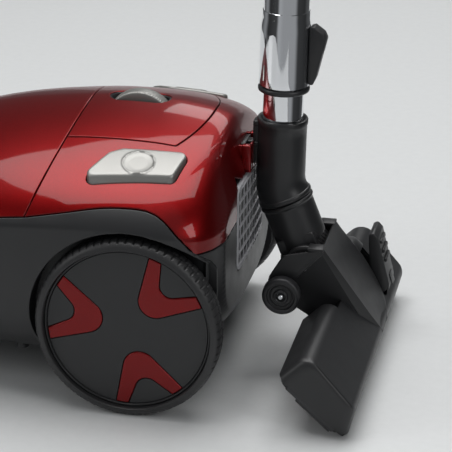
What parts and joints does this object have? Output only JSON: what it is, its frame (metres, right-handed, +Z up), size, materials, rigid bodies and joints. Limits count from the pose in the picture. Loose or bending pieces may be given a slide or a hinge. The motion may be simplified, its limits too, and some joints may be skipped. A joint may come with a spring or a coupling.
{
  "type": "canister vacuum cleaner",
  "caption": "Bagged canister vacuum cleaner on two large rear wheels and a castor, with its telescopic wand and floor head parked upright at the back.",
  "frame": {"origin": "on the floor, in the middle of the whole object's box", "axes": "+X towards the rear of the canister, where the wand is parked; +Y towards its other side, across the wheels; +Z up"},
  "size_m": [0.5064, 0.278, 0.7862],
  "materials": {
    "red_gloss": "metallic lacquer gloss",
    "charcoal_satin": "fine moulded texture",
    "grey_grille": "fine moulded texture",
    "black_moulding": "moulded",
    "tyre_rubber": "satin",
    "seal_rubber": "matte",
    "silver_satin": "satin silver lacquer",
    "tube_chrome": "polished",
    "steel": "bright",
    "white_moulding": "moulded",
    "filter_foam": "open cell",
    "filter_fleece": "pleated fleece",
    "bag_fleece": "non-woven",
    "card": "plain",
    "board_green": "solder mask",
    "copper": "wound copper",
    "lint_red": "short pile"
  },
  "bodies": {
    "body": {"lower_chassis": "charcoal_satin", "bulkhead": "charcoal_satin", "rear_shell": "red_gloss", "lid_panel": "red_gloss", "parking_bracket": "red_gloss", "exhaust_grille": "grey_grille", "exhaust_filter": "filter_fleece", "motor_casing": "white_moulding", "motor_stator": "steel", "motor_mounts": "seal_rubber", "motor_filter": "filter_foam", "filter_frame": "charcoal_satin", "reel_spindle": "steel", "cord_outlet": "black_moulding", "main_switch": "black_moulding", "control_board": "board_green", "chassis_screws": "steel", "wheel_axles": "steel", "hinge_pins": "steel", "bag_holder": "charcoal_satin", "bag_collar": "card", "dust_bag": "bag_fleece", "switch_spring": "steel", "rewind_spring": "steel"},
    "rotor": {"motor_rotor": "copper"},
    "reel": {"cord_reel": "white_moulding"},
    "brake": {"reel_brake": "black_moulding"},
    "wheel_left": {"tyre_left": "tyre_rubber", "wheel_disc_left": "charcoal_satin", "wheel_inserts_left": "red_gloss"},
    "wheel_right": {"tyre_right": "tyre_rubber", "wheel_disc_right": "charcoal_satin", "wheel_inserts_right": "red_gloss"},
    "castor": {"castor_fork": "black_moulding", "castor_axle": "steel"},
    "castor_roller": {"castor_wheel": "black_moulding"},
    "cover": {"front_cover": "red_gloss", "hose_socket": "charcoal_satin", "cover_seal": "seal_rubber"},
    "latch": {"cover_latch": "charcoal_satin"},
    "dial": {"power_dial": "silver_satin"},
    "pedal_switch": {"switch_pedal": "silver_satin"},
    "pedal_rewind": {"rewind_pedal": "silver_satin"},
    "wand": {"inner_tube": "tube_chrome", "elbow_socket": "charcoal_satin"},
    "telescope": {"outer_tube": "tube_chrome", "tube_sleeve": "tube_chrome", "tube_end_ring": "black_moulding"},
    "wand_catch": {"tube_latch": "charcoal_satin"},
    "barrel": {"elbow_barrel": "charcoal_satin"},
    "head": {"head_cover": "charcoal_satin", "head_sole": "black_moulding", "head_wheel_axle": "steel", "neck_pins": "steel", "rocker_pin": "steel", "lint_strips": "lint_red"},
    "roller_left": {"head_wheel_left": "black_moulding"},
    "roller_right": {"head_wheel_right": "black_moulding"},
    "rocker": {"rocker_pedal": "charcoal_satin"},
    "brush": {"brush_strip": "black_moulding"}
  },
  "joints": [
    {"name": "rear_wheel_left_spin", "type": "hinge", "parent": "body", "child": "wheel_left", "pos_m": [0.07184, -0.125, 0.0735], "axis": [0, 1, 0], "continuous": true},
    {"name": "rear_wheel_right_spin", "type": "hinge", "parent": "body", "child": "wheel_right", "pos_m": [0.07184, 0.125, 0.0735], "axis": [0, 1, 0], "continuous": true},
    {"name": "castor_swivel", "type": "hinge", "parent": "body", "child": "castor", "pos_m": [-0.16316, 0, 0.043], "axis": [0, 0, 1], "continuous": true},
    {"name": "castor_spin", "type": "hinge", "parent": "castor", "child": "castor_roller", "pos_m": [-0.15116, 0, 0.018], "axis": [0, 1, 0], "continuous": true},
    {"name": "cover_hinge", "type": "hinge", "parent": "body", "child": "cover", "pos_m": [0.04184, 0, 0.204], "axis": [0, 1, 0], "range_deg": [0, 50]},
    {"name": "cover_latch_press", "type": "slide", "parent": "cover", "child": "latch", "axis": [1, 0, 0], "range_m": [0, 0.003], "stiffness_N_per_m": 400, "springref_m": -0.002},
    {"name": "power_dial_turn", "type": "hinge", "parent": "body", "child": "dial", "pos_m": [0.04984, 0, 0.192], "axis": [0, 1, 0], "range_deg": [-75, 75]},
    {"name": "switch_pedal_press", "type": "slide", "parent": "body", "child": "pedal_switch", "axis": [0, 0, -1], "range_m": [0, 0.006], "stiffness_N_per_m": 500, "springref_m": -0.003, "deforming": ["switch_spring"]},
    {"name": "rewind_pedal_press", "type": "slide", "parent": "body", "child": "pedal_rewind", "axis": [0, 0, -1], "range_m": [0, 0.006], "stiffness_N_per_m": 500, "springref_m": -0.003, "deforming": ["rewind_spring"]},
    {"name": "motor_spin", "type": "hinge", "parent": "body", "child": "rotor", "pos_m": [0.03784, -0.038, 0.092], "axis": [1, 0, 0], "continuous": true},
    {"name": "cord_reel_spin", "type": "hinge", "parent": "body", "child": "reel", "pos_m": [0.04584, 0.038, 0.106], "axis": [0, 1, 0], "continuous": true},
    {"name": "reel_brake_lift", "type": "hinge", "parent": "body", "child": "brake", "pos_m": [0.10984, 0.04, 0.178], "axis": [0, 1, 0], "range_deg": [0, 5]},
    {"name": "wand_lift", "type": "slide", "parent": "body", "child": "wand", "axis": [0, 0, 1], "range_m": [0, 0.06]},
    {"name": "telescope_slide", "type": "slide", "parent": "wand", "child": "telescope", "axis": [0.014, 0, 0.9999], "range_m": [0, 0.36]},
    {"name": "wand_catch_slide", "type": "slide", "parent": "telescope", "child": "wand_catch", "axis": [0.014, 0, 0.9999], "range_m": [0, 0.006], "stiffness_N_per_m": 500, "springref_m": -0.002},
    {"name": "neck_swivel", "type": "hinge", "parent": "wand", "child": "barrel", "pos_m": [0.16984, 0, 0.139], "axis": [-0.3746, 0, 0.9272], "range_deg": [-12, 12]},
    {"name": "neck_tilt", "type": "hinge", "parent": "barrel", "child": "head", "pos_m": [0.19037, 0, 0.09331], "axis": [0, 1, 0], "range_deg": [-10, 18]},
    {"name": "head_wheel_left_spin", "type": "hinge", "parent": "head", "child": "roller_left", "pos_m": [0.17486, -0.04, 0.07161], "axis": [0, 1, 0], "continuous": true},
    {"name": "head_wheel_right_spin", "type": "hinge", "parent": "head", "child": "roller_right", "pos_m": [0.17486, 0.04, 0.07161], "axis": [0, 1, 0], "continuous": true},
    {"name": "rocker_press", "type": "hinge", "parent": "head", "child": "rocker", "pos_m": [0.24075, 0.079, 0.02372], "axis": [0, 1, 0], "range_deg": [-8, 0]},
    {"name": "brush_drop", "type": "slide", "parent": "head", "child": "brush", "axis": [-0.6691, 0, -0.7431], "range_m": [0, 0.005]}
  ],
  "couplings": [
    {"joint": "brush_drop", "follows": "rocker_press", "m_per_rad": -0.03438},
    {"joint": "reel_brake_lift", "follows": "rewind_pedal_press", "rad_per_m": 13.963}
  ]
}
